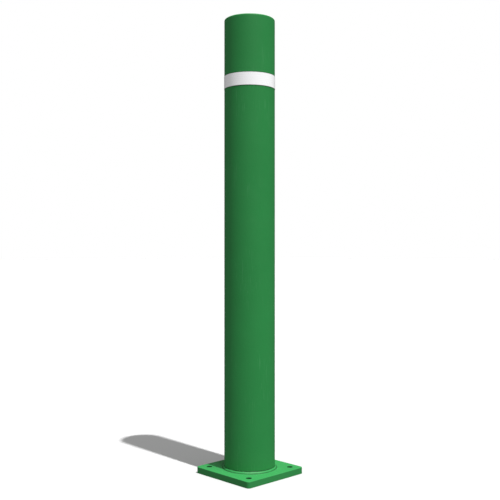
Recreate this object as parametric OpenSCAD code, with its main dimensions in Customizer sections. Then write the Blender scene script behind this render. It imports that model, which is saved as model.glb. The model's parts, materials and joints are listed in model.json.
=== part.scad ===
// Steel safety bollard: a round steel post welded to a square base plate,
// closed by a flat steel cap, with one reflective band near the top.
// Millimetres. Z is up, the underside of the base plate is at Z = 0 and the
// axis of the post is the Z axis. The plate edges run along X and Y.

/* [Overall] */
// overall height, underside of the plate to the top of the cap
overall_h = 910; // [600:1:1300]
// outside diameter of the post tube
tube_od = 101.6; // [76:0.1:140]
// wall thickness of the post tube
tube_wall = 4.8; // [3:0.1:8]

/* [Base plate] */
// length of each side of the square base plate
plate_side = 152.4; // [125:0.1:240]
// thickness of the base plate
plate_t = 12.7; // [8:0.1:20]
// radius of the four upright corners of the plate
plate_corner_r = 6.4; // [4:0.1:12]
// radius rolled over the top edge of the plate
plate_edge_r = 1; // [0.5:0.1:3.8]
// distance from the sides of the plate to the centre of an anchor hole
hole_inset = 19.05; // [13:0.05:24]
// diameter of each anchor hole
hole_d = 11; // [8:0.1:18]
// diameter of the vent hole under the post
vent_d = 12; // [6:0.5:30]

/* [Cap and welds] */
// thickness of the flat cap disc
cap_t = 6.4; // [5:0.1:12]
// radius on the top edge of the cap
cap_edge_r = 2.5; // [1:0.1:3]
// depth of the groove weld between cap and tube
groove_depth = 2; // [1:0.1:2.2]
// leg of the fillet weld round the foot of the post
fillet_leg = 3.6; // [2.5:0.1:6]

/* [Reflective band] */
// width of the reflective band
band_w = 25.4; // [20:0.1:60]
// distance from the top of the cap down to the top edge of the band
band_drop = 114.3; // [60:0.1:200]
// thickness of the reflective band
band_t = 0.5; // [0.3:0.05:1]

/* [Hidden] */
// roundness of the drawn circles
$fn = 96;
tube_r = tube_od / 2;
bore_r = tube_r - tube_wall;
// the anchor holes stand on a square this wide, centre to centre
hole_pitch = plate_side - 2 * hole_inset;
// the tube stands on the plate and carries the cap on its top end
tube_top = overall_h - cap_t;
band_top = overall_h - band_drop;
band_bottom = band_top - band_w;
// length of cutters past the face they cut
over = 1;

// sub-part to build, or "all"

steel_green = [0.18, 0.48, 0.25];
weld_green = [0.15, 0.42, 0.22];
tape_white = [0.93, 0.93, 0.94];

// Square of side s with corners rounded to radius r.
module rounded_square(s, r) {
  square([s, s - 2 * r], center = true);
  square([s - 2 * r, s], center = true);
  for (x = [-1, 1], y = [-1, 1])
    translate([x * (s / 2 - r), y * (s / 2 - r)]) circle(r = r);
}

// Outline between a square corner and the round inside it.
module outside_round(r) {
  difference() {
    square([r + over, r + over]);
    circle(r = r);
  }
}

// Bar that is taken off one long top edge of the plate, leaving a round.
module edge_cutter(len) {
  rotate([90, 0, 0])
    linear_extrude(height = len, center = true)
      outside_round(plate_edge_r);
}

// Piece that is taken off one top corner of the plate, leaving a round.
module corner_cutter() {
  rotate_extrude(angle = 90)
    translate([plate_corner_r - plate_edge_r, 0])
      outside_round(plate_edge_r);
}

// Square steel base plate with rounded top edge, anchor holes and vent hole.
module base_plate() {
  straight = plate_side - 2 * plate_corner_r;
  corner_at = plate_side / 2 - plate_corner_r;
  color(steel_green)
  difference() {
    linear_extrude(height = plate_t) rounded_square(plate_side, plate_corner_r);
    for (a = [0:90:270])
      rotate([0, 0, a]) {
        translate([plate_side / 2 - plate_edge_r, 0, plate_t - plate_edge_r])
          edge_cutter(straight);
        translate([corner_at, corner_at, plate_t - plate_edge_r]) corner_cutter();
      }
    for (x = [-1, 1], y = [-1, 1])
      translate([x * hole_pitch / 2, y * hole_pitch / 2, -over])
        cylinder(d = hole_d, h = plate_t + 2 * over);
    translate([0, 0, -over]) cylinder(d = vent_d, h = plate_t + 2 * over);
  }
}

// Fillet weld laid round the foot of the post.
module base_weld() {
  color(weld_green)
  rotate_extrude()
    polygon([
      [tube_r, plate_t],
      [tube_r + fillet_leg, plate_t],
      [tube_r, plate_t + fillet_leg]
    ]);
}

// Round post tube, its top outer edge bevelled for the cap weld.
module post_tube() {
  color(steel_green)
  rotate_extrude()
    polygon([
      [bore_r, plate_t],
      [tube_r, plate_t],
      [tube_r, tube_top - groove_depth],
      [tube_r - groove_depth, tube_top],
      [bore_r, tube_top]
    ]);
}

// White reflective tape wrapped once round the post.
module reflective_band() {
  color(tape_white)
  rotate_extrude()
    translate([tube_r, band_bottom]) square([band_t, band_w]);
}

// Groove weld between tube and cap, ground flush with the post.
module cap_weld() {
  color(weld_green)
  rotate_extrude()
    polygon([
      [tube_r, tube_top - groove_depth],
      [tube_r, tube_top + groove_depth],
      [tube_r - groove_depth, tube_top]
    ]);
}

// Flat cap disc, bevelled below for the weld and rounded on its top edge.
module top_cap() {
  color(steel_green)
  translate([0, 0, tube_top])
  rotate_extrude()
    difference() {
      square([tube_r, cap_t]);
      // weld bevel on the lower edge
      polygon([
        [tube_r - groove_depth, 0],
        [tube_r - groove_depth, -over],
        [tube_r + over, -over],
        [tube_r + over, groove_depth],
        [tube_r, groove_depth]
      ]);
      // round on the upper edge
      translate([tube_r - cap_edge_r, cap_t - cap_edge_r]) outside_round(cap_edge_r);
    }
}

base_plate();
base_weld();
post_tube();
reflective_band();
cap_weld();
top_cap();
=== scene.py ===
"""Looks of the steel safety bollard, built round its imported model.

Every piece is in metres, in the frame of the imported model: +Z runs up the post and the
underside of the base plate lies at Z = 0.
"""

import json
import logging
import math
from collections.abc import Callable
from dataclasses import dataclass
from enum import Enum

import bmesh
import bpy
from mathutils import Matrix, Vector


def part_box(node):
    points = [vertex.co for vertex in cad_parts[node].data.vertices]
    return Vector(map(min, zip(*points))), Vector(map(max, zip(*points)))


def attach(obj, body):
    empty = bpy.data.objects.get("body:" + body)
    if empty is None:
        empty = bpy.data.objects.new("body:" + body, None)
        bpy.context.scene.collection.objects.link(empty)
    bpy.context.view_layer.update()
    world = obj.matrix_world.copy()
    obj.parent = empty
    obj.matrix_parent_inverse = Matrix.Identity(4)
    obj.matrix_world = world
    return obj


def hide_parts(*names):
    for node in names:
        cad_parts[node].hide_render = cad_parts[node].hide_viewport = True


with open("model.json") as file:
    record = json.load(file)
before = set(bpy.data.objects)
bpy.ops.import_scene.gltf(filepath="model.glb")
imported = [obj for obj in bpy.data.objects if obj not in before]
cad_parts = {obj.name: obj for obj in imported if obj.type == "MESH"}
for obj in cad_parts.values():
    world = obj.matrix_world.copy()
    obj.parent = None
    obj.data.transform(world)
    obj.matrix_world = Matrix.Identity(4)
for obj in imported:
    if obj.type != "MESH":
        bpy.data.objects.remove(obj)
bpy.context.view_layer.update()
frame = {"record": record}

MM = 0.001
BODY = "root"
ROUND_STEPS = 192
# points nearer to each other than this are one
MERGE = 0.002 * MM
# a face is level when its normal's Z, up or down, is above this
LEVEL = 0.9999
# nearly all of a noise pattern's values lie between these
MOST_NOISE = (0.3, 0.7)
# a colour mix node's two colours and its result, by socket number
MIX_A = 6
MIX_B = 7
MIX_OUT = 2
log = logging.getLogger("bollard")


def linear(hex_colour: str) -> tuple[float, float, float, float]:
    """Turns an sRGB hex colour into linear light.

    Args:
        hex_colour: colour written as "#rrggbb".

    Returns:
        Linear red, green and blue, and an alpha of one.
    """
    parts = [int(hex_colour[i:i + 2], 16) / 255 for i in (1, 3, 5)]
    curve = [c / 12.92 if c <= 0.04045 else ((c + 0.055) / 1.055) ** 2.4 for c in parts]
    return (curve[0], curve[1], curve[2], 1.0)


def add_node(tree: bpy.types.NodeTree, kind: str, inputs: dict | None = None,
             **settings: object) -> bpy.types.Node:
    """Adds one node with its settings, values and links.

    Args:
        tree: node tree that gets the node.
        kind: Blender's name for the node type.
        inputs: socket name or number to a value, or to an output socket to link.
        **settings: properties of the node itself.

    Returns:
        The new node.
    """
    made = tree.nodes.new(kind)
    for name, value in settings.items():
        setattr(made, name, value)
    for key, value in (inputs or {}).items():
        if isinstance(value, bpy.types.NodeSocket):
            tree.links.new(value, made.inputs[key])
        else:
            made.inputs[key].default_value = value
    return made


def new_material(name: str) -> tuple[bpy.types.Material, bpy.types.NodeTree, bpy.types.Node]:
    """Starts a material with one shader wired to its output.

    Args:
        name: name of the finish.

    Returns:
        The material, its node tree and its shader.
    """
    material = bpy.data.materials.new(name)
    material.use_nodes = True
    tree = material.node_tree
    tree.nodes.clear()
    shader = add_node(tree, "ShaderNodeBsdfPrincipled")
    add_node(tree, "ShaderNodeOutputMaterial", {"Surface": shader.outputs["BSDF"]})
    return material, tree, shader


class Substrate(Enum):
    """What lies under the green coating, which decides its fine relief and rub marks."""

    TUBE = "drawn tube"
    PLATE = "cut plate"
    DISC = "ground disc"
    WELD = "weld bead"


@dataclass(frozen=True)
class PowderCoat:
    """Polyester powder coating, sprayed and baked on steel.

    It gives an even satin green with a faint orange peel, a little cloudiness where the
    film is thicker, thin film on the edges, grime with painted shade in the creases and
    holes, light rub marks from handling and some dust near the floor.
    """

    name: str
    substrate: Substrate
    # rings round the post darkened by grime and painted shade, each as its radius and its height
    creases: tuple[tuple[float, float], ...] = ()
    # the hole in each quarter, darkened inside by dirt and painted shade: X and Y of its centre, and its
    # radius
    hole: tuple[float, float, float] | None = None

    colour: str = "#298543"
    thick_film: str = "#247C3D"
    thin_film: str = "#5BA56C"
    dust: str = "#8E9A88"
    # dark colour for grime with painted shade in the creases and the holes
    grime_and_shade: str = "#14301C"
    rub: str = "#6FB081"
    roughness: float = 0.48
    smoother_by: float = 0.05
    rougher_by: float = 0.06
    gloss_patch: float = 70.0 * MM / 3
    ior: float = 1.5
    # half the shader's usual share: set by trial until the green looked right, not from a real coat
    specular: float = 0.25
    cloud: float = 70.0 * MM

    # real peel is 1 to 2 mm across; drawn at 4 mm so that it shows in the render
    peel: float = 4.0 * MM
    peel_height: float = 0.1 * MM
    speck: float = 0.7 * MM
    speck_spacing: float = 16.0 * MM
    speck_height: float = 0.03 * MM
    speck_strength: float = 0.6
    cut_line: float = 1.1 * MM
    cut_height: float = 0.03 * MM
    # the lines of the cut are long in Z and short along X and Y
    cut_squash: float = 0.06
    # a normal's Z where a face stops counting as cut, from fully to not at all
    cut_lean: tuple[float, float] = (0.1, 0.4)

    # a line of grime and painted shade; real grime is about 1 mm wide, drawn at 1.6 mm so that it shows in
    # the render
    crease_width: float = 1.6 * MM
    crease_core: float = 0.25
    crease_share: float = 0.8
    crease_grit: float = 6.0 * MM
    crease_gaps: tuple[float, float] = (0.3, 0.6)
    crease_least: float = 0.6
    hole_share: float = 0.7
    hole_rim: tuple[float, float] = (0.1 * MM, 0.6 * MM)

    rub_length: float = 40.0 * MM
    rub_width: float = 0.9 * MM
    rub_turn: float = math.radians(30)
    rub_share: float = 0.22
    rub_peaks: tuple[float, float] = (0.66, 0.74)
    rub_patch: float = 70.0 * MM
    rub_patch_peaks: tuple[float, float] = (0.5, 0.6)

    edge_reach: float = 1.2 * MM
    edge_share: float = 0.35
    edge_samples: int = 6
    # cosine of the turn where the film starts to thin, and where it is thinnest
    edge_turn: tuple[float, float] = (0.995, 0.9)
    edge_chip: float = 9.0 * MM
    edge_chip_peaks: tuple[float, float] = (0.42, 0.62)
    # the film runs unbroken over anything lower than this, such as a weld that was ground flush
    whole_below: float = 0.0

    dust_height: float = 60.0 * MM
    dust_share: float = 0.05
    dust_grit: float = 14.0 * MM

    def material(self) -> bpy.types.Material:
        """Builds the coating.

        Returns:
            The finished material.
        """
        material, tree, shader = new_material(self.name)
        place = add_node(tree, "ShaderNodeTexCoord").outputs["Object"]
        shader.inputs["IOR"].default_value = self.ior
        shader.inputs["Specular IOR Level"].default_value = self.specular
        tree.links.new(self._colour(tree, place), shader.inputs["Base Color"])
        tree.links.new(self._roughness(tree, place), shader.inputs["Roughness"])
        tree.links.new(self._relief(tree, place), shader.inputs["Normal"])
        return material

    def _colour(self, tree: bpy.types.NodeTree, place: bpy.types.NodeSocket) -> bpy.types.NodeSocket:
        """Mixes cloudy film, thin film on edges, rub marks, dust, and grime with painted shade in the creases
        and holes.

        Args:
            tree: node tree of the coating.
            place: object coordinates.

        Returns:
            The colour socket.
        """
        cloud = add_node(tree, "ShaderNodeTexNoise",
                         {"Vector": place, "Scale": 1 / self.cloud, "Detail": 4.0, "Roughness": 0.55})
        film = add_node(tree, "ShaderNodeMix",
                        {0: cloud.outputs["Fac"], MIX_A: linear(self.colour), MIX_B: linear(self.thick_film)},
                        data_type="RGBA")
        edge = add_node(tree, "ShaderNodeMix",
                        {0: self._edge_mask(tree, place), MIX_A: film.outputs[MIX_OUT],
                         MIX_B: linear(self.thin_film)},
                        data_type="RGBA")
        rubbed = add_node(tree, "ShaderNodeMix",
                          {0: self._rub_mask(tree, place), MIX_A: edge.outputs[MIX_OUT],
                           MIX_B: linear(self.rub)},
                          data_type="RGBA")
        dusty = add_node(tree, "ShaderNodeMix",
                         {0: self._dust_mask(tree, place), MIX_A: rubbed.outputs[MIX_OUT],
                          MIX_B: linear(self.dust)},
                         data_type="RGBA")
        tint = dusty.outputs[MIX_OUT]
        masks = []
        if self.creases:
            masks.append(self._crease_grime_and_shade_mask(tree, place))
        if self.hole:
            masks.append(self._hole_grime_and_shade_mask(tree, place))
        # grime with painted shade darkens the creases and the holes
        for mask in masks:
            tint = add_node(tree, "ShaderNodeMix", {0: mask, MIX_A: tint, MIX_B: linear(self.grime_and_shade)},
                            data_type="RGBA").outputs[MIX_OUT]
        return tint

    def _rub_mask(self, tree: bpy.types.NodeTree, place: bpy.types.NodeSocket) -> bpy.types.NodeSocket:
        """Scatters a few faint rub marks in patches, upright on a post and level on a plate.

        Args:
            tree: node tree of the coating.
            place: object coordinates.

        Returns:
            A socket with the share of rubbed film.
        """
        level = self.substrate in (Substrate.PLATE, Substrate.DISC)
        squash = self.rub_width / self.rub_length
        stretch = add_node(tree, "ShaderNodeMapping",
                           {"Vector": place, "Rotation": (0.0, 0.0, self.rub_turn if level else 0.0),
                            "Scale": (squash, 1.0, 1.0) if level else (1.0, 1.0, squash)},
                           vector_type="POINT")
        marks = add_node(tree, "ShaderNodeTexNoise",
                         {"Vector": stretch.outputs["Vector"], "Scale": 1 / self.rub_width,
                          "Detail": 1.0})
        thin = add_node(tree, "ShaderNodeMapRange",
                        {"Value": marks.outputs["Fac"], "From Min": self.rub_peaks[0],
                         "From Max": self.rub_peaks[1], "To Min": 0.0, "To Max": self.rub_share})
        # W picks another pattern than the one that clouds the film
        patches = add_node(tree, "ShaderNodeTexNoise",
                           {"Vector": place, "Scale": 1 / self.rub_patch, "Detail": 2.0, "W": 3.0},
                           noise_dimensions="4D")
        where = add_node(tree, "ShaderNodeMapRange",
                         {"Value": patches.outputs["Fac"], "From Min": self.rub_patch_peaks[0],
                          "From Max": self.rub_patch_peaks[1]})
        both = add_node(tree, "ShaderNodeMath",
                        {0: thin.outputs["Result"], 1: where.outputs["Result"]}, operation="MULTIPLY")
        return both.outputs["Value"]

    def _hole_grime_and_shade_mask(self, tree: bpy.types.NodeTree, place: bpy.types.NodeSocket) -> bpy.types.NodeSocket:
        """Finds the walls of the holes, which stand alike in all four quarters, for dirt and painted shade
        inside them.

        Args:
            tree: node tree of the coating.
            place: object coordinates.

        Returns:
            A socket with the share of grime and painted shade.
        """
        centre_x, centre_y, radius = self.hole
        folded = add_node(tree, "ShaderNodeVectorMath", {0: place}, operation="ABSOLUTE")
        flat = add_node(tree, "ShaderNodeVectorMath",
                        {0: folded.outputs["Vector"], 1: (1.0, 1.0, 0.0)}, operation="MULTIPLY")
        reach = add_node(tree, "ShaderNodeVectorMath",
                         {0: flat.outputs["Vector"], 1: (centre_x, centre_y, 0.0)},
                         operation="DISTANCE")
        inside = add_node(tree, "ShaderNodeMapRange",
                          {"Value": reach.outputs["Value"], "From Min": radius + self.hole_rim[0],
                           "From Max": radius + self.hole_rim[1], "To Min": self.hole_share,
                           "To Max": 0.0})
        return inside.outputs["Result"]

    def _crease_grime_and_shade_mask(self, tree: bpy.types.NodeTree, place: bpy.types.NodeSocket) -> bpy.types.NodeSocket:
        """Finds the creases round the post, darkened by grime and painted shade.

        Args:
            tree: node tree of the coating.
            place: object coordinates.

        Returns:
            A socket with the share of grime and painted shade.
        """
        axes = add_node(tree, "ShaderNodeSeparateXYZ", {"Vector": place})
        level = add_node(tree, "ShaderNodeCombineXYZ", {"X": axes.outputs["X"], "Y": axes.outputs["Y"]})
        radius = add_node(tree, "ShaderNodeVectorMath", {0: level.outputs["Vector"]}, operation="LENGTH")
        section = add_node(tree, "ShaderNodeCombineXYZ",
                           {"X": radius.outputs["Value"], "Y": axes.outputs["Z"]})
        nearest = None
        for ring_radius, ring_height in self.creases:
            gap = add_node(tree, "ShaderNodeVectorMath",
                           {0: section.outputs["Vector"], 1: (ring_radius, ring_height, 0.0)},
                           operation="DISTANCE").outputs["Value"]
            if nearest is None:
                nearest = gap
            else:
                nearest = add_node(tree, "ShaderNodeMath", {0: nearest, 1: gap},
                                   operation="MINIMUM").outputs["Value"]
        line = add_node(tree, "ShaderNodeMapRange",
                        {"Value": nearest, "From Min": self.crease_core * self.crease_width,
                         "From Max": self.crease_width, "To Min": self.crease_share, "To Max": 0.0},
                        interpolation_type="SMOOTHSTEP")
        grit = add_node(tree, "ShaderNodeTexNoise",
                        {"Vector": place, "Scale": 1 / self.crease_grit, "Detail": 4.0})
        broken = add_node(tree, "ShaderNodeMapRange",
                          {"Value": grit.outputs["Fac"], "From Min": self.crease_gaps[0],
                           "From Max": self.crease_gaps[1], "To Min": self.crease_least, "To Max": 1.0})
        share = add_node(tree, "ShaderNodeMath",
                         {0: line.outputs["Result"], 1: broken.outputs["Result"]}, operation="MULTIPLY")
        return share.outputs["Value"]

    def _edge_mask(self, tree: bpy.types.NodeTree, place: bpy.types.NodeSocket) -> bpy.types.NodeSocket:
        """Finds the edges, broken up by noise, where the film is thin.

        Args:
            tree: node tree of the coating.
            place: object coordinates.

        Returns:
            A socket that is 0 on flat stretches and rises towards the edges.
        """
        rounded = add_node(tree, "ShaderNodeBevel", {"Radius": self.edge_reach},
                           samples=self.edge_samples)
        flat = add_node(tree, "ShaderNodeNewGeometry")
        along = add_node(tree, "ShaderNodeVectorMath",
                         {0: rounded.outputs["Normal"], 1: flat.outputs["Normal"]},
                         operation="DOT_PRODUCT")
        turned = add_node(tree, "ShaderNodeMapRange",
                          {"Value": along.outputs["Value"], "From Min": self.edge_turn[0],
                           "From Max": self.edge_turn[1], "To Min": 0.0, "To Max": self.edge_share})
        chips = add_node(tree, "ShaderNodeTexNoise",
                         {"Vector": place, "Scale": 1 / self.edge_chip, "Detail": 5.0, "Roughness": 0.7})
        patchy = add_node(tree, "ShaderNodeMapRange",
                          {"Value": chips.outputs["Fac"], "From Min": self.edge_chip_peaks[0],
                           "From Max": self.edge_chip_peaks[1]})
        both = add_node(tree, "ShaderNodeMath",
                        {0: turned.outputs["Result"], 1: patchy.outputs["Result"]}, operation="MULTIPLY")
        height = add_node(tree, "ShaderNodeSeparateXYZ", {"Vector": place})
        bare = add_node(tree, "ShaderNodeMath",
                        {0: height.outputs["Z"], 1: self.whole_below}, operation="GREATER_THAN")
        kept = add_node(tree, "ShaderNodeMath",
                        {0: both.outputs["Value"], 1: bare.outputs["Value"]}, operation="MULTIPLY")
        return kept.outputs["Value"]

    def _dust_mask(self, tree: bpy.types.NodeTree, place: bpy.types.NodeSocket) -> bpy.types.NodeSocket:
        """Lays a faint dust film that thins with height.

        Args:
            tree: node tree of the coating.
            place: object coordinates.

        Returns:
            A socket with the share of dust.
        """
        height = add_node(tree, "ShaderNodeSeparateXYZ", {"Vector": place})
        fade = add_node(tree, "ShaderNodeMapRange",
                        {"Value": height.outputs["Z"], "From Min": 0.0, "From Max": self.dust_height,
                         "To Min": self.dust_share, "To Max": 0.0})
        grit = add_node(tree, "ShaderNodeTexNoise",
                        {"Vector": place, "Scale": 1 / self.dust_grit, "Detail": 6.0, "Roughness": 0.65})
        share = add_node(tree, "ShaderNodeMath",
                         {0: fade.outputs["Result"], 1: grit.outputs["Fac"]}, operation="MULTIPLY")
        return share.outputs["Value"]

    def _roughness(self, tree: bpy.types.NodeTree, place: bpy.types.NodeSocket) -> bpy.types.NodeSocket:
        """Varies the satin gloss a little from patch to patch.

        Args:
            tree: node tree of the coating.
            place: object coordinates.

        Returns:
            The roughness socket.
        """
        patches = add_node(tree, "ShaderNodeTexNoise",
                           {"Vector": place, "Scale": 1 / self.gloss_patch, "Detail": 5.0})
        gloss = add_node(tree, "ShaderNodeMapRange",
                         {"Value": patches.outputs["Fac"],
                          "From Min": MOST_NOISE[0], "From Max": MOST_NOISE[1],
                          "To Min": self.roughness - self.smoother_by,
                          "To Max": self.roughness + self.rougher_by})
        return gloss.outputs["Result"]

    def _relief(self, tree: bpy.types.NodeTree, place: bpy.types.NodeSocket) -> bpy.types.NodeSocket:
        """Raises the orange peel, baked-in specks and the substrate's own marks.

        Args:
            tree: node tree of the coating.
            place: object coordinates.

        Returns:
            The normal socket.
        """
        peel = add_node(tree, "ShaderNodeTexNoise",
                        {"Vector": place, "Scale": 1 / self.peel, "Detail": 1.5, "Roughness": 0.4})
        skin = add_node(tree, "ShaderNodeBump",
                        {"Height": peel.outputs["Fac"], "Distance": self.peel_height, "Strength": 1.0})
        specks = add_node(tree, "ShaderNodeTexVoronoi",
                          {"Vector": place, "Scale": 1 / self.speck_spacing}, feature="F1")
        dots = add_node(tree, "ShaderNodeMapRange",
                        {"Value": specks.outputs["Distance"], "From Min": 0.0,
                         "From Max": self.speck / self.speck_spacing, "To Min": 1.0, "To Max": 0.0})
        pimples = add_node(tree, "ShaderNodeBump",
                           {"Height": dots.outputs["Result"], "Distance": self.speck_height,
                            "Strength": self.speck_strength, "Normal": skin.outputs["Normal"]})
        if self.substrate is not Substrate.PLATE:
            return pimples.outputs["Normal"]
        return self._cut_lines(tree, place, pimples.outputs["Normal"])

    def _cut_lines(self, tree: bpy.types.NodeTree, place: bpy.types.NodeSocket,
                   under: bpy.types.NodeSocket) -> bpy.types.NodeSocket:
        """Adds the upright drag lines that a plate's cut sides keep under the film.

        Args:
            tree: node tree of the coating.
            place: object coordinates.
            under: normal socket of the film.

        Returns:
            The normal socket with the lines on the plate's sides.
        """
        stretch = add_node(tree, "ShaderNodeMapping",
                           {"Vector": place, "Scale": (1.0, 1.0, self.cut_squash)}, vector_type="POINT")
        lines = add_node(tree, "ShaderNodeTexNoise",
                         {"Vector": stretch.outputs["Vector"], "Scale": 1 / self.cut_line,
                          "Detail": 2.0})
        facing = add_node(tree, "ShaderNodeSeparateXYZ",
                          {"Vector": add_node(tree, "ShaderNodeNewGeometry").outputs["True Normal"]})
        lean = add_node(tree, "ShaderNodeMath", {0: facing.outputs["Z"]}, operation="ABSOLUTE")
        side = add_node(tree, "ShaderNodeMapRange",
                        {"Value": lean.outputs["Value"], "From Min": self.cut_lean[0],
                         "From Max": self.cut_lean[1], "To Min": 1.0, "To Max": 0.0})
        height = add_node(tree, "ShaderNodeMath",
                          {0: lines.outputs["Fac"], 1: side.outputs["Result"]}, operation="MULTIPLY")
        marks = add_node(tree, "ShaderNodeBump",
                         {"Height": height.outputs["Value"], "Distance": self.cut_height,
                          "Strength": 1.0, "Normal": under})
        return marks.outputs["Normal"]


@dataclass(frozen=True)
class RetroFilm:
    """White retroreflective tape: a clear film over cells of tiny prisms.

    It gives a bright, slightly glossy white with a faint honeycomb of seal lines, greyed
    by dirt and painted shade along its cut edges.
    """

    length: float
    width: float
    name: str = "retroreflective_film_white"
    colour: str = "#FCFCFD"
    seal_line: str = "#E6E7EA"
    # dark colour for dirt with painted shade along the tape's cut edges and its lapped end
    edge_dirt_and_shade: str = "#8C8F8E"
    edge_dirt_and_shade_width: float = 0.7 * MM
    edge_dirt_and_shade_share: float = 0.8
    # honeycomb cells are about 4 mm across their flats
    cell: float = 4.2 * MM
    line_share: float = 0.09
    ior: float = 1.5
    roughness: float = 0.38
    roughness_swing: float = 0.04
    coat: float = 0.25
    coat_roughness: float = 0.12
    ripple: float = 11.0 * MM
    ripple_height: float = 0.05 * MM
    ripple_strength: float = 0.5
    seal_depth: float = 0.03 * MM
    seal_strength: float = 0.6

    def material(self) -> bpy.types.Material:
        """Builds the film.

        Returns:
            The finished material, which reads the tape's own UV map in metres.
        """
        material, tree, shader = new_material(self.name)
        shader.inputs["IOR"].default_value = self.ior
        shader.inputs["Coat Weight"].default_value = self.coat
        shader.inputs["Coat Roughness"].default_value = self.coat_roughness
        spot = add_node(tree, "ShaderNodeUVMap", uv_map=TapeBand.UV_NAME).outputs["UV"]
        edge = self._cell_edge(tree, spot)
        line = add_node(tree, "ShaderNodeMapRange",
                        {"Value": edge, "From Min": 0.5 - self.line_share, "From Max": 0.5})
        tint = add_node(tree, "ShaderNodeMix",
                        {0: line.outputs["Result"], MIX_A: linear(self.colour),
                         MIX_B: linear(self.seal_line)},
                        data_type="RGBA")
        # dirt with painted shade darkens the cut edges
        dirt_and_shade_edged = add_node(tree, "ShaderNodeMix",
                        {0: self._edge_dirt_and_shade_mask(tree, spot), MIX_A: tint.outputs[MIX_OUT],
                         MIX_B: linear(self.edge_dirt_and_shade)},
                        data_type="RGBA")
        tree.links.new(dirt_and_shade_edged.outputs[MIX_OUT], shader.inputs["Base Color"])
        ripple = add_node(tree, "ShaderNodeTexNoise",
                          {"Vector": spot, "Scale": 1 / self.ripple, "Detail": 3.0})
        satin = add_node(tree, "ShaderNodeMapRange",
                         {"Value": ripple.outputs["Fac"],
                          "From Min": MOST_NOISE[0], "From Max": MOST_NOISE[1],
                          "To Min": self.roughness - self.roughness_swing,
                          "To Max": self.roughness + self.roughness_swing})
        tree.links.new(satin.outputs["Result"], shader.inputs["Roughness"])
        wave = add_node(tree, "ShaderNodeBump",
                        {"Height": ripple.outputs["Fac"], "Distance": self.ripple_height,
                         "Strength": self.ripple_strength})
        seal = add_node(tree, "ShaderNodeBump",
                        {"Height": line.outputs["Result"], "Distance": self.seal_depth,
                         "Strength": self.seal_strength, "Normal": wave.outputs["Normal"]}, invert=True)
        tree.links.new(seal.outputs["Normal"], shader.inputs["Normal"])
        return material

    def _edge_dirt_and_shade_mask(self, tree: bpy.types.NodeTree, spot: bpy.types.NodeSocket) -> bpy.types.NodeSocket:
        """Finds the cut edges of the tape, darkened by dirt and painted shade.

        Args:
            tree: node tree of the film.
            spot: UV coordinates in metres.

        Returns:
            A socket that rises towards the edges.
        """
        size = (self.length, self.width, 0.0)
        left_over = add_node(tree, "ShaderNodeVectorMath", {0: size, 1: spot}, operation="SUBTRACT")
        nearer = add_node(tree, "ShaderNodeVectorMath",
                          {0: spot, 1: left_over.outputs["Vector"]}, operation="MINIMUM")
        axes = add_node(tree, "ShaderNodeSeparateXYZ", {"Vector": nearer.outputs["Vector"]})
        gap = add_node(tree, "ShaderNodeMath",
                       {0: axes.outputs["X"], 1: axes.outputs["Y"]}, operation="MINIMUM")
        line = add_node(tree, "ShaderNodeMapRange",
                        {"Value": gap.outputs["Value"], "From Min": 0.0, "From Max": self.edge_dirt_and_shade_width,
                         "To Min": self.edge_dirt_and_shade_share, "To Max": 0.0})
        return line.outputs["Result"]

    def _cell_edge(self, tree: bpy.types.NodeTree, spot: bpy.types.NodeSocket) -> bpy.types.NodeSocket:
        """Measures how near a point is to the edge of its six-sided cell.

        Args:
            tree: node tree of the film.
            spot: UV coordinates in metres.

        Returns:
            A socket that is 0 at a cell's middle and 0.5 on its edge.
        """
        pitch = (self.cell, self.cell * math.sqrt(3), 1.0)
        half = tuple(step / 2 for step in pitch)
        spans = []
        for shift in ((0.0, 0.0, 0.0), half):
            moved = add_node(tree, "ShaderNodeVectorMath", {0: spot, 1: shift}, operation="ADD")
            wrapped = add_node(tree, "ShaderNodeVectorMath",
                               {0: moved.outputs["Vector"], 1: half, 2: tuple(-h for h in half)},
                               operation="WRAP")
            folded = add_node(tree, "ShaderNodeVectorMath", {0: wrapped.outputs["Vector"]},
                              operation="ABSOLUTE")
            slanted = add_node(tree, "ShaderNodeVectorMath",
                               {0: folded.outputs["Vector"], 1: (0.5, math.sqrt(3) / 2, 0.0)},
                               operation="DOT_PRODUCT")
            axes = add_node(tree, "ShaderNodeSeparateXYZ", {"Vector": folded.outputs["Vector"]})
            span = add_node(tree, "ShaderNodeMath",
                            {0: slanted.outputs["Value"], 1: axes.outputs["X"]}, operation="MAXIMUM")
            spans.append(span.outputs["Value"])
        nearest = add_node(tree, "ShaderNodeMath", {0: spans[0], 1: spans[1]}, operation="MINIMUM")
        scaled = add_node(tree, "ShaderNodeMath",
                          {0: nearest.outputs["Value"], 1: self.cell}, operation="DIVIDE")
        return scaled.outputs["Value"]


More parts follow.
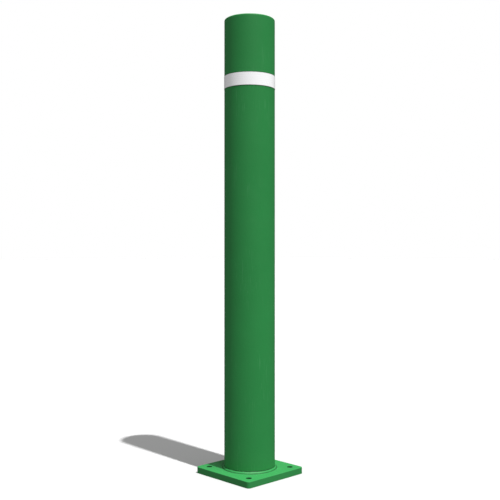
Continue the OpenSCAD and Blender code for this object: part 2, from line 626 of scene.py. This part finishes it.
@dataclass(frozen=True)
class MillSteel:
    """Hot-rolled steel with its mill scale: a dark, dull, slightly blotchy grey metal."""

    name: str = "mill_scale_steel"
    colour: str = "#5A5C60"
    rust: str = "#6A5346"
    rust_share: float = 0.6
    rust_peaks: tuple[float, float] = (0.5, 0.75)
    metallic: float = 0.8
    roughness: float = 0.55
    blotch: float = 18.0 * MM
    scale_height: float = 0.05 * MM

    def material(self) -> bpy.types.Material:
        """Builds the bare steel.

        Returns:
            The finished material.
        """
        material, tree, shader = new_material(self.name)
        place = add_node(tree, "ShaderNodeTexCoord").outputs["Object"]
        blotches = add_node(tree, "ShaderNodeTexNoise",
                            {"Vector": place, "Scale": 1 / self.blotch, "Detail": 6.0})
        share = add_node(tree, "ShaderNodeMapRange",
                         {"Value": blotches.outputs["Fac"], "From Min": self.rust_peaks[0],
                          "From Max": self.rust_peaks[1], "To Min": 0.0, "To Max": self.rust_share})
        tint = add_node(tree, "ShaderNodeMix",
                        {0: share.outputs["Result"], MIX_A: linear(self.colour), MIX_B: linear(self.rust)},
                        data_type="RGBA")
        tree.links.new(tint.outputs[MIX_OUT], shader.inputs["Base Color"])
        shader.inputs["Metallic"].default_value = self.metallic
        shader.inputs["Roughness"].default_value = self.roughness
        scale = add_node(tree, "ShaderNodeBump",
                         {"Height": blotches.outputs["Fac"], "Distance": self.scale_height})
        tree.links.new(scale.outputs["Normal"], shader.inputs["Normal"])
        return material


def start_clean() -> None:
    """Leaves edit mode and deselects everything."""
    if bpy.context.object and bpy.context.object.mode != "OBJECT":
        bpy.ops.object.mode_set(mode="OBJECT")
    bpy.ops.object.select_all(action="DESELECT")


def take_new(name: str) -> bpy.types.Object:
    """Names the primitive that was just added and moves its place into its mesh.

    Args:
        name: name of the piece.

    Returns:
        The piece.
    """
    piece = bpy.context.object
    piece.name = name
    piece.data.name = name
    bpy.ops.object.transform_apply(location=True, rotation=True, scale=True)
    return piece


def pick_edges(piece: bpy.types.Object, wanted: Callable[[Vector, Vector], bool]) -> None:
    """Enters edit mode with only the wanted edges selected.

    Args:
        piece: the mesh to work on.
        wanted: says from an edge's two ends whether it is selected.
    """
    bpy.context.view_layer.objects.active = piece
    bpy.ops.object.mode_set(mode="EDIT")
    bpy.ops.mesh.select_mode(type="EDGE")
    bpy.ops.mesh.select_all(action="DESELECT")
    work = bmesh.from_edit_mesh(piece.data)
    for edge in work.edges:
        edge.select_set(wanted(edge.verts[0].co, edge.verts[1].co))
    bmesh.update_edit_mesh(piece.data)


def pick_faces(piece: bpy.types.Object, wanted: Callable[[Vector, Vector], bool]) -> None:
    """Enters edit mode with only the wanted faces selected.

    Args:
        piece: the mesh to work on.
        wanted: says from a face's centre and normal whether it is selected.
    """
    bpy.context.view_layer.objects.active = piece
    bpy.ops.object.mode_set(mode="EDIT")
    bpy.ops.mesh.select_mode(type="FACE")
    bpy.ops.mesh.select_all(action="DESELECT")
    work = bmesh.from_edit_mesh(piece.data)
    for face in work.faces:
        face.select_set(wanted(face.calc_center_median(), face.normal))
    bmesh.update_edit_mesh(piece.data)


def apply_modifier(piece: bpy.types.Object, kind: str, **settings: object) -> None:
    """Adds one modifier and applies it.

    Args:
        piece: the mesh to change.
        kind: Blender's name for the modifier type.
        **settings: properties of the modifier.
    """
    start_clean()
    piece.select_set(True)
    bpy.context.view_layer.objects.active = piece
    modifier = piece.modifiers.new(kind.lower(), kind)
    for name, value in settings.items():
        setattr(modifier, name, value)
    bpy.ops.object.modifier_apply(modifier=modifier.name)


def close_up(piece: bpy.types.Object, smooth_angle: float = 30.0) -> None:
    """Merges doubles, turns the faces outwards and smooths all but the sharp edges.

    Args:
        piece: the mesh to finish.
        smooth_angle: edges that turn by less than this, in degrees, are smoothed.
    """
    start_clean()
    piece.select_set(True)
    bpy.context.view_layer.objects.active = piece
    bpy.ops.object.mode_set(mode="EDIT")
    bpy.ops.mesh.select_all(action="SELECT")
    bpy.ops.mesh.remove_doubles(threshold=MERGE)
    bpy.ops.mesh.normals_make_consistent(inside=False)
    bpy.ops.object.mode_set(mode="OBJECT")
    bpy.ops.object.shade_smooth_by_angle(angle=math.radians(smooth_angle))
    apply_modifier(piece, "WEIGHTED_NORMAL", mode="FACE_AREA", keep_sharp=True)


def radius_at(point: Vector) -> float:
    """Returns a point's distance from the axis of the post."""
    return math.hypot(point.x, point.y)


def near(value: float, target: float, slack: float = 0.02 * MM) -> bool:
    """Returns whether two lengths agree within a small slack."""
    return abs(value - target) < slack


def hand_over(piece: bpy.types.Object, cad_node: str, slot: str, *finishes: bpy.types.Material) -> None:
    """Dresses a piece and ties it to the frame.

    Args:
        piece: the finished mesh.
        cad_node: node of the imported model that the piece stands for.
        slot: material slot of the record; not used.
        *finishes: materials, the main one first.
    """
    piece.data.materials.clear()
    for finish in finishes:
        piece.data.materials.append(finish)
    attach(piece, BODY)
    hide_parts(cad_node)
    log.info("%s: %d faces, stands for %s", piece.name, len(piece.data.polygons), cad_node)


@dataclass
class FloorPlate:
    """Square base plate: cut steel, rounded above, drilled for four anchors."""

    CAD = "base_plate"
    corner_r: float = 6.4 * MM
    edge_r: float = 1.0 * MM
    vent_r: float = 6.0 * MM
    edge_break: float = 0.35 * MM
    corner_steps: int = 12
    edge_steps: int = 8
    break_steps: int = 2
    drill_steps: int = 64
    smooth_angle: float = 35.0

    def build(self) -> bpy.types.Object:
        """Models the plate from a block.

        Returns:
            The plate.
        """
        low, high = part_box(self.CAD)
        start_clean()
        bpy.ops.mesh.primitive_cube_add(size=1, location=(low + high) / 2, scale=high - low)
        plate = take_new("painted_base_plate")
        pick_edges(plate, lambda a, b: near(a.x, b.x) and near(a.y, b.y))
        bpy.ops.mesh.bevel(offset=self.corner_r, segments=self.corner_steps, affect="EDGES")
        pick_edges(plate, lambda a, b: near(a.z, high.z) and near(b.z, high.z))
        bpy.ops.mesh.bevel(offset=self.edge_r, segments=self.edge_steps, affect="EDGES")
        pick_edges(plate, lambda a, b: near(a.z, low.z) and near(b.z, low.z))
        bpy.ops.mesh.bevel(offset=self.edge_break, segments=self.break_steps, affect="EDGES")
        self._drill(plate, low.z, high.z)
        close_up(plate, self.smooth_angle)
        return plate

    def holes(self) -> list[tuple[float, float, float]]:
        """Lists the holes from the record's anchor pattern, and the vent.

        Returns:
            X, Y and radius of each hole.
        """
        pattern = next(m for m in frame["record"]["mounts"] if m["name"] == "anchor_holes")["dims"]
        reach_x = pattern["spacing_x_mm"] * MM / 2
        reach_y = pattern["spacing_y_mm"] * MM / 2
        anchor_r = pattern["hole_r_mm"] * MM
        corners = [(sx * reach_x, sy * reach_y, anchor_r) for sx in (-1, 1) for sy in (-1, 1)]
        return [*corners, (0.0, 0.0, self.vent_r)]

    def _drill(self, plate: bpy.types.Object, bottom: float, top: float) -> None:
        """Drills each hole and breaks the edges of its mouths.

        Args:
            plate: the plate to drill.
            bottom: height of the plate's underside.
            top: height of the plate's upper face.
        """
        for x, y, radius in self.holes():
            start_clean()
            bpy.ops.mesh.primitive_cylinder_add(vertices=self.drill_steps, radius=radius,
                                                depth=3 * (top - bottom), location=(x, y, top / 2))
            drill = take_new("drill")
            apply_modifier(plate, "BOOLEAN", operation="DIFFERENCE", solver="EXACT", object=drill)
            bpy.data.objects.remove(drill)
            spot = Vector((x, y))
            pick_edges(plate, lambda a, b: all(
                near((p.xy - spot).length, radius) and (near(p.z, top) or near(p.z, bottom))
                for p in (a, b)) and near(a.z, b.z))
            bpy.ops.mesh.bevel(offset=self.edge_break, segments=self.break_steps, affect="EDGES")
            bpy.ops.object.mode_set(mode="OBJECT")

    def dress(self, plate: bpy.types.Object) -> None:
        """Coats the plate.

        Args:
            plate: the finished plate.
        """
        # the hole with the greatest X and Y stands for its mirror images
        coat = PowderCoat("powder_coat_on_cut_plate", Substrate.PLATE, creases=foot_creases(),
                          hole=max(self.holes()))
        hand_over(plate, self.CAD, "plate_paint", coat.material())


@dataclass
class Post:
    """Round tube and its flat cap, with the ground weld between them."""

    TUBE = "post_tube"
    CAP = "top_cap"
    GROOVE = "cap_weld"
    radius: float = 50.8 * MM
    wall: float = 4.8 * MM
    groove: float = 2.0 * MM
    cap_edge_r: float = 2.5 * MM
    cap_edge_steps: int = 8

    def build_tube(self) -> bpy.types.Object:
        """Models the tube from an open cylinder.

        Returns:
            The tube, with its top outer edge bevelled for the weld.
        """
        low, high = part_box(self.TUBE)
        start_clean()
        bpy.ops.mesh.primitive_cylinder_add(vertices=ROUND_STEPS, radius=self.radius, end_fill_type="NOTHING",
                                            depth=high.z - low.z, location=(0, 0, (low.z + high.z) / 2))
        tube = take_new("painted_post_tube")
        apply_modifier(tube, "SOLIDIFY", thickness=self.wall, offset=-1.0, use_even_offset=True)
        pick_edges(tube, lambda a, b: all(near(p.z, high.z) and near(radius_at(p), self.radius)
                                          for p in (a, b)))
        bpy.ops.mesh.bevel(offset=self.groove, segments=1, affect="EDGES")
        close_up(tube)
        return tube

    def build_cap(self) -> bpy.types.Object:
        """Models the cap from a disc.

        Returns:
            The cap, bevelled below and rounded above.
        """
        low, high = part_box(self.CAP)
        start_clean()
        bpy.ops.mesh.primitive_cylinder_add(vertices=ROUND_STEPS, radius=self.radius,
                                            depth=high.z - low.z, location=(0, 0, (low.z + high.z) / 2))
        cap = take_new("painted_top_cap")
        pick_edges(cap, lambda a, b: near(a.z, low.z) and near(b.z, low.z))
        bpy.ops.mesh.bevel(offset=self.groove, segments=1, affect="EDGES")
        pick_edges(cap, lambda a, b: near(a.z, high.z) and near(b.z, high.z))
        bpy.ops.mesh.bevel(offset=self.cap_edge_r, segments=self.cap_edge_steps, affect="EDGES")
        pick_faces(cap, lambda centre, normal: abs(normal.z) > LEVEL)
        bpy.ops.mesh.inset(thickness=self.radius / 3)
        close_up(cap)
        return cap

    def build_groove(self) -> bpy.types.Object:
        """Spins the three-sided section of the ground weld round the post.

        Returns:
            The weld ring.
        """
        low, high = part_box(self.GROOVE)
        middle = (low.z + high.z) / 2
        start_clean()
        bpy.ops.mesh.primitive_circle_add(vertices=3, radius=self.groove, fill_type="NOTHING",
                                          location=(self.radius, 0, middle))
        ring = take_new("painted_cap_weld")
        section = [(self.radius, low.z), (self.radius, high.z), (self.radius - self.groove, middle)]
        for vertex, (reach, height) in zip(ring.data.vertices, section):
            vertex.co = (reach, 0.0, height)
        spin_round(ring, ROUND_STEPS)
        close_up(ring)
        return ring

    def dress(self, tube: bpy.types.Object, cap: bpy.types.Object, ring: bpy.types.Object) -> None:
        """Coats the outside and leaves bare steel inside the tube.

        Args:
            tube: the tube.
            cap: the cap.
            ring: the ground weld.
        """
        creases = foot_creases() + tape_creases()
        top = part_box(self.GROOVE)[1].z
        coat = PowderCoat("powder_coat_on_tube", Substrate.TUBE, creases=creases,
                          whole_below=top).material()
        hand_over(tube, self.TUBE, "post_paint", coat, MillSteel().material())
        for face in tube.data.polygons:
            face.material_index = int(radius_at(face.center) < self.radius - self.groove)
        disc_coat = PowderCoat("powder_coat_on_ground_disc", Substrate.DISC, whole_below=top)
        hand_over(cap, self.CAP, "post_paint", disc_coat.material())
        hand_over(ring, self.GROOVE, "weld_paint", coat)


def foot_creases() -> tuple[tuple[float, float], ...]:
    """Lists the toes of the foot weld, where it meets the plate and the tube.

    Returns:
        Radius and height of each.
    """
    low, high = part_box(FootWeld.CAD)
    return ((high.x, low.z), (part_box(Post.TUBE)[1].x, high.z))


def tape_creases() -> tuple[tuple[float, float], ...]:
    """Lists the edges of the tape on the tube, darkened by grime and painted shade.

    Returns:
        Radius and height of each.
    """
    low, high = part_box(TapeBand.CAD)
    tube_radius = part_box(Post.TUBE)[1].x
    return ((tube_radius, low.z), (tube_radius, high.z))


def spin_round(piece: bpy.types.Object, steps: int) -> None:
    """Spins all of a mesh once round the axis of the post.

    Args:
        piece: a closed section, standing in the XZ plane.
        steps: number of stretches in the full turn.
    """
    start_clean()
    piece.select_set(True)
    bpy.context.view_layer.objects.active = piece
    bpy.ops.object.mode_set(mode="EDIT")
    bpy.ops.mesh.select_all(action="SELECT")
    bpy.ops.mesh.spin(steps=steps, angle=math.tau, center=(0, 0, 0), axis=(0, 0, 1))
    bpy.ops.mesh.select_all(action="SELECT")
    bpy.ops.mesh.remove_doubles(threshold=MERGE)
    bpy.ops.object.mode_set(mode="OBJECT")


@dataclass
class FootWeld:
    """Fillet weld round the foot of the post, with the ripples of the torch."""

    CAD = "base_weld"
    post_r: float = 50.8 * MM
    leg: float = 3.6 * MM
    belly: float = 0.12
    # share of the belly that goes outwards, and as much of it upwards
    belly_slant: float = 0.7
    # points this near to a leg, as a share of its length, stay on it
    root_share: float = 0.02
    ripple: float = 2.6 * MM
    ripple_height: float = 0.11 * MM
    ripple_middle: float = 0.6
    ripple_lag: float = 1.1
    wander: float = 0.12 * MM
    # slow swings of the torch in one turn round the post, and how far the first is ahead
    swings: tuple[int, int] = (5, 13)
    swing_ahead: float = 1.3
    face_points: int = 9
    steps_per_ripple: int = 6
    smooth_angle: float = 60.0
    # both set low by trial, so that the ripples keep their green and don't glint white
    coat_specular: float = 0.18
    coat_edge_share: float = 0.05

    def build(self) -> bpy.types.Object:
        """Spins the bead's section and presses the ripples into its face.

        Returns:
            The bead.
        """
        low, _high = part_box(self.CAD)
        start_clean()
        bpy.ops.mesh.primitive_circle_add(vertices=self.face_points + 1, radius=self.leg,
                                          fill_type="NOTHING", location=(self.post_r, 0, low.z))
        bead = take_new("painted_foot_weld")
        section = [*self._face_section(low.z), (self.post_r, low.z)]
        for vertex, (reach, height) in zip(bead.data.vertices, section):
            vertex.co = (reach, 0.0, height)
        ripples = round(math.tau * (self.post_r + self.leg / 2) / self.ripple)
        spin_round(bead, ripples * self.steps_per_ripple)
        self._press_ripples(bead, ripples, low.z)
        close_up(bead, self.smooth_angle)
        return bead

    def _face_section(self, floor: float) -> list[tuple[float, float]]:
        """Lists the points of the bead's slightly bellied face, from toe to top.

        Args:
            floor: height of the plate's upper face.

        Returns:
            Distance from the axis and height of each point.
        """
        points = []
        for i in range(self.face_points):
            share = i / (self.face_points - 1)
            bulge = self.belly * self.leg * math.sin(math.pi * share) * self.belly_slant
            points.append((self.post_r + self.leg * (1 - share) + bulge,
                           floor + self.leg * share + bulge))
        return points

    def _press_ripples(self, bead: bpy.types.Object, ripples: int, floor: float) -> None:
        """Moves the face of the bead in and out, in crescents round the post.

        Args:
            bead: the spun bead.
            ripples: number of ripples in the full turn.
            floor: height of the plate's upper face.
        """
        root = self.root_share * self.leg
        slow, fast = self.swings
        for vertex in bead.data.vertices:
            reach = radius_at(vertex.co) - self.post_r
            rise = vertex.co.z - floor
            across = rise / max(reach + rise, self.leg / 2)
            on_face = min(reach, rise) > root
            turn = math.atan2(vertex.co.y, vertex.co.x)
            crescent = self.ripple_lag * (2 * across - 1) ** 2
            wave = abs(math.sin((ripples * turn + crescent * math.pi) / 2))
            swell = self.ripple_height * (wave - self.ripple_middle) if on_face else 0.0
            drift = self.wander * (math.sin(slow * turn + self.swing_ahead) + math.sin(fast * turn)) / 2
            grow_out = (swell + drift) if reach > root else 0.0
            grow_up = (swell - drift) if rise > root else 0.0
            scale = (self.post_r + reach + grow_out) / (self.post_r + reach)
            vertex.co = (vertex.co.x * scale, vertex.co.y * scale, vertex.co.z + grow_up)

    def dress(self, bead: bpy.types.Object) -> None:
        """Coats the bead.

        Args:
            bead: the finished bead.
        """
        coat = PowderCoat("powder_coat_on_weld", Substrate.WELD, creases=foot_creases(),
                          specular=self.coat_specular, edge_share=self.coat_edge_share)
        hand_over(bead, self.CAD, "weld_paint", coat.material())


@dataclass
class TapeBand:
    """White reflective tape, wrapped once round the post with its ends lapped behind."""

    CAD = "reflective_band"
    UV_NAME = "tape_metres"
    post_r: float = 50.8 * MM
    film: float = 0.45 * MM
    lap: float = 14.0 * MM
    lap_ramp: float = 3.0 * MM
    lap_turn: float = math.radians(150.0)
    # room for the glue where the tape lies on its own first end
    glue: float = 0.02 * MM
    edge_break: float = 0.1 * MM
    break_steps: int = 2
    length_steps: int = 216
    smooth_angle: float = 20.0

    def build(self) -> bpy.types.Object:
        """Wraps a flat strip round the post and gives it its thickness.

        Returns:
            The tape.
        """
        low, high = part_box(self.CAD)
        start_clean()
        bpy.ops.mesh.primitive_grid_add(x_subdivisions=self.length_steps, y_subdivisions=2, size=1)
        tape = take_new("reflective_tape_band")
        length = self.length()
        uv_map = tape.data.uv_layers.active or tape.data.uv_layers.new()
        uv_map.name = self.UV_NAME
        for loop in tape.data.loops:
            flat = tape.data.vertices[loop.vertex_index].co
            uv_map.data[loop.index].uv = ((flat.x + 0.5) * length, (flat.y + 0.5) * (high.z - low.z))
        for vertex in tape.data.vertices:
            run = (vertex.co.x + 0.5) * length
            height = low.z + (vertex.co.y + 0.5) * (high.z - low.z)
            reach = self._reach(run, length)
            turn = self.lap_turn + run / self.post_r
            vertex.co = (reach * math.cos(turn), reach * math.sin(turn), height)
        apply_modifier(tape, "SOLIDIFY", thickness=self.film, offset=1.0, use_even_offset=True)
        apply_modifier(tape, "BEVEL", width=self.edge_break, segments=self.break_steps,
                       limit_method="ANGLE")
        bpy.ops.object.shade_smooth_by_angle(angle=math.radians(self.smooth_angle))
        return tape

    def length(self) -> float:
        """Returns the cut length of the tape: once round the post, and the lap."""
        return math.tau * self.post_r + self.lap

    def _reach(self, run: float, length: float) -> float:
        """Works out how far from the axis the back of the tape lies.

        Args:
            run: distance along the tape from its first end.
            length: length of the tape.

        Returns:
            The radius there, which steps up where the tape lies on its own first end.
        """
        lapped = run - (length - self.lap) + self.lap_ramp
        share = min(max(lapped / self.lap_ramp, 0.0), 1.0)
        ease = share * share * (3 - 2 * share)
        return self.post_r + (self.film + self.glue) * ease

    def dress(self, tape: bpy.types.Object) -> None:
        """Gives the tape its film.

        Args:
            tape: the finished tape.
        """
        low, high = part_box(self.CAD)
        film = RetroFilm(self.length(), high.z - low.z)
        hand_over(tape, self.CAD, "reflective_tape", film.material())


@dataclass
class Studio:
    """Pale floor, soft light and the camera."""

    # direction that the camera looks from, turned about the post
    turn: float = math.radians(46.04)
    distance: float = 1.5842
    height: float = 0.4440
    sideways: float = 0.8 * MM
    tilt_up: float = math.radians(0.151)
    lens: float = 56.71
    sensor: float = 36.0
    clip: tuple[float, float] = (0.05, 200.0)
    floor_half: float = 40.0
    floor_drop: float = 0.05 * MM
    floor_colour: str = "#CFCFCF"
    floor_roughness: float = 0.9
    floor_specular: float = 0.1
    sun_right: float = 5.0
    sun_front: float = 5.57
    sun_up: float = 17.9
    key_power: float = 4.22
    key_width: float = 1.0
    top_power: float = 2.4
    top_width: float = 8.0
    top_lift: float = 4.0
    sky_above: float = 0.50
    sky_below: float = 0.46
    # heights, as a direction's Z, between which the sky turns from below to above
    sky_turn: tuple[float, float] = (-0.3, 0.3)
    backdrop: float = 1.0
    # the sky as the gloss mirrors it: far weaker than it shines, set by trial to keep the green deep
    sky_mirrored: float = 0.10

    def build(self) -> None:
        """Places everything that isn't part of the bollard."""
        floor = self._floor()
        self._key()
        self._top(floor)
        self._sky()
        self._camera()
        view = bpy.context.scene.view_settings
        view.view_transform = "Standard"
        view.look = "None"

    def _axes(self) -> tuple[Vector, Vector]:
        """Works out which way the camera looks over the floor.

        Returns:
            The camera's right and its level forward direction.
        """
        right = Vector((math.cos(self.turn), math.sin(self.turn), 0.0))
        forward = Vector((-math.sin(self.turn), math.cos(self.turn), 0.0))
        return right, forward

    def _floor(self) -> bpy.types.Object:
        """Lays a plain pale floor.

        Returns:
            The floor.
        """
        start_clean()
        bpy.ops.mesh.primitive_plane_add(size=2 * self.floor_half, location=(0, 0, -self.floor_drop))
        floor = take_new("studio_floor")
        material, _tree, shader = new_material("pale_studio_floor")
        shader.inputs["Base Color"].default_value = linear(self.floor_colour)
        shader.inputs["Roughness"].default_value = self.floor_roughness
        shader.inputs["Specular IOR Level"].default_value = self.floor_specular
        floor.data.materials.append(material)
        # a staging choice: the floor throws no light back, so the post keeps its dark side
        floor.visible_diffuse = False
        floor.visible_glossy = False
        return floor

    def _key(self) -> None:
        """Hangs the key light in front, to the right and high up."""
        self._lamp("key_light", self.key_power, self.key_width, self._towards_key(1.0))

    def _top(self, floor: bpy.types.Object) -> None:
        """Hangs a second light above the key, which leaves the floor out.

        Args:
            floor: the floor, which would else show a second shadow.
        """
        lamp = self._lamp("top_light", self.top_power, self.top_width, self._towards_key(self.top_lift))
        left_out = bpy.data.collections.new("not_lit_from_above")
        left_out.objects.link(floor)
        left_out.collection_objects[0].light_linking.link_state = "EXCLUDE"
        lamp.light_linking.receiver_collection = left_out

    def _towards_key(self, lift: float) -> Vector:
        """Works out the direction to the key light, or to one above it.

        Args:
            lift: factor on the light's height.

        Returns:
            Direction from the bollard to the light.
        """
        right, forward = self._axes()
        return right * self.sun_right - forward * self.sun_front + Vector((0, 0, lift * self.sun_up))

    @staticmethod
    def _lamp(name: str, power: float, width: float, towards: Vector) -> bpy.types.Object:
        """Adds a distant light.

        Args:
            name: name of the light.
            power: strength in watts per square metre.
            width: angle that the light fills in the sky, in degrees.
            towards: direction from the bollard to the light.

        Returns:
            The light.
        """
        data = bpy.data.lights.new(name, "SUN")
        data.energy = power
        data.angle = math.radians(width)
        lamp = bpy.data.objects.new(name, data)
        lamp.rotation_mode = "QUATERNION"
        lamp.rotation_quaternion = towards.to_track_quat("Z", "Y")
        bpy.context.scene.collection.objects.link(lamp)
        return lamp

    def _sky(self) -> None:
        """Wraps the scene in even light, brighter above than below, on a white backdrop."""
        world = bpy.data.worlds.new("studio_surround")
        bpy.context.scene.world = world
        world.use_nodes = True
        tree = world.node_tree
        tree.nodes.clear()
        direction = add_node(tree, "ShaderNodeTexCoord").outputs["Generated"]
        height = add_node(tree, "ShaderNodeSeparateXYZ", {"Vector": direction})
        dome = add_node(tree, "ShaderNodeMapRange",
                        {"Value": height.outputs["Z"],
                         "From Min": self.sky_turn[0], "From Max": self.sky_turn[1],
                         "To Min": self.sky_below, "To Max": self.sky_above})
        path = add_node(tree, "ShaderNodeLightPath")
        lit = add_node(tree, "ShaderNodeMix",
                       {0: path.outputs["Is Glossy Ray"], 2: dome.outputs["Result"],
                        3: self.sky_mirrored})
        power = add_node(tree, "ShaderNodeMix",
                         {0: path.outputs["Is Camera Ray"], 2: lit.outputs[0], 3: self.backdrop})
        surround = add_node(tree, "ShaderNodeBackground",
                            {"Color": (1, 1, 1, 1), "Strength": power.outputs[0]})
        add_node(tree, "ShaderNodeOutputWorld", {"Surface": surround.outputs["Background"]})

    def _camera(self) -> None:
        """Sets the camera in front of the plate's near corner."""
        right, forward = self._axes()
        lens = bpy.data.cameras.new("camera")
        lens.lens = self.lens
        lens.sensor_width = self.sensor
        lens.clip_start, lens.clip_end = self.clip
        camera = bpy.data.objects.new("camera", lens)
        camera.location = right * self.sideways - forward * self.distance + Vector((0, 0, self.height))
        look = forward * math.cos(self.tilt_up) + Vector((0, 0, math.sin(self.tilt_up)))
        camera.rotation_mode = "QUATERNION"
        camera.rotation_quaternion = look.to_track_quat("-Z", "Y")
        bpy.context.scene.collection.objects.link(camera)
        bpy.context.scene.camera = camera


def main() -> None:
    """Builds and dresses the bollard, piece by piece, from the floor up."""
    logging.basicConfig(level=logging.INFO, format="%(name)s: %(message)s", force=True)
    plate = FloorPlate()
    plate.dress(plate.build())
    weld = FootWeld()
    weld.dress(weld.build())
    post = Post()
    post.dress(post.build_tube(), post.build_cap(), post.build_groove())
    tape = TapeBand()
    tape.dress(tape.build())
    Studio().build()


if __name__ == "__main__":
    main()
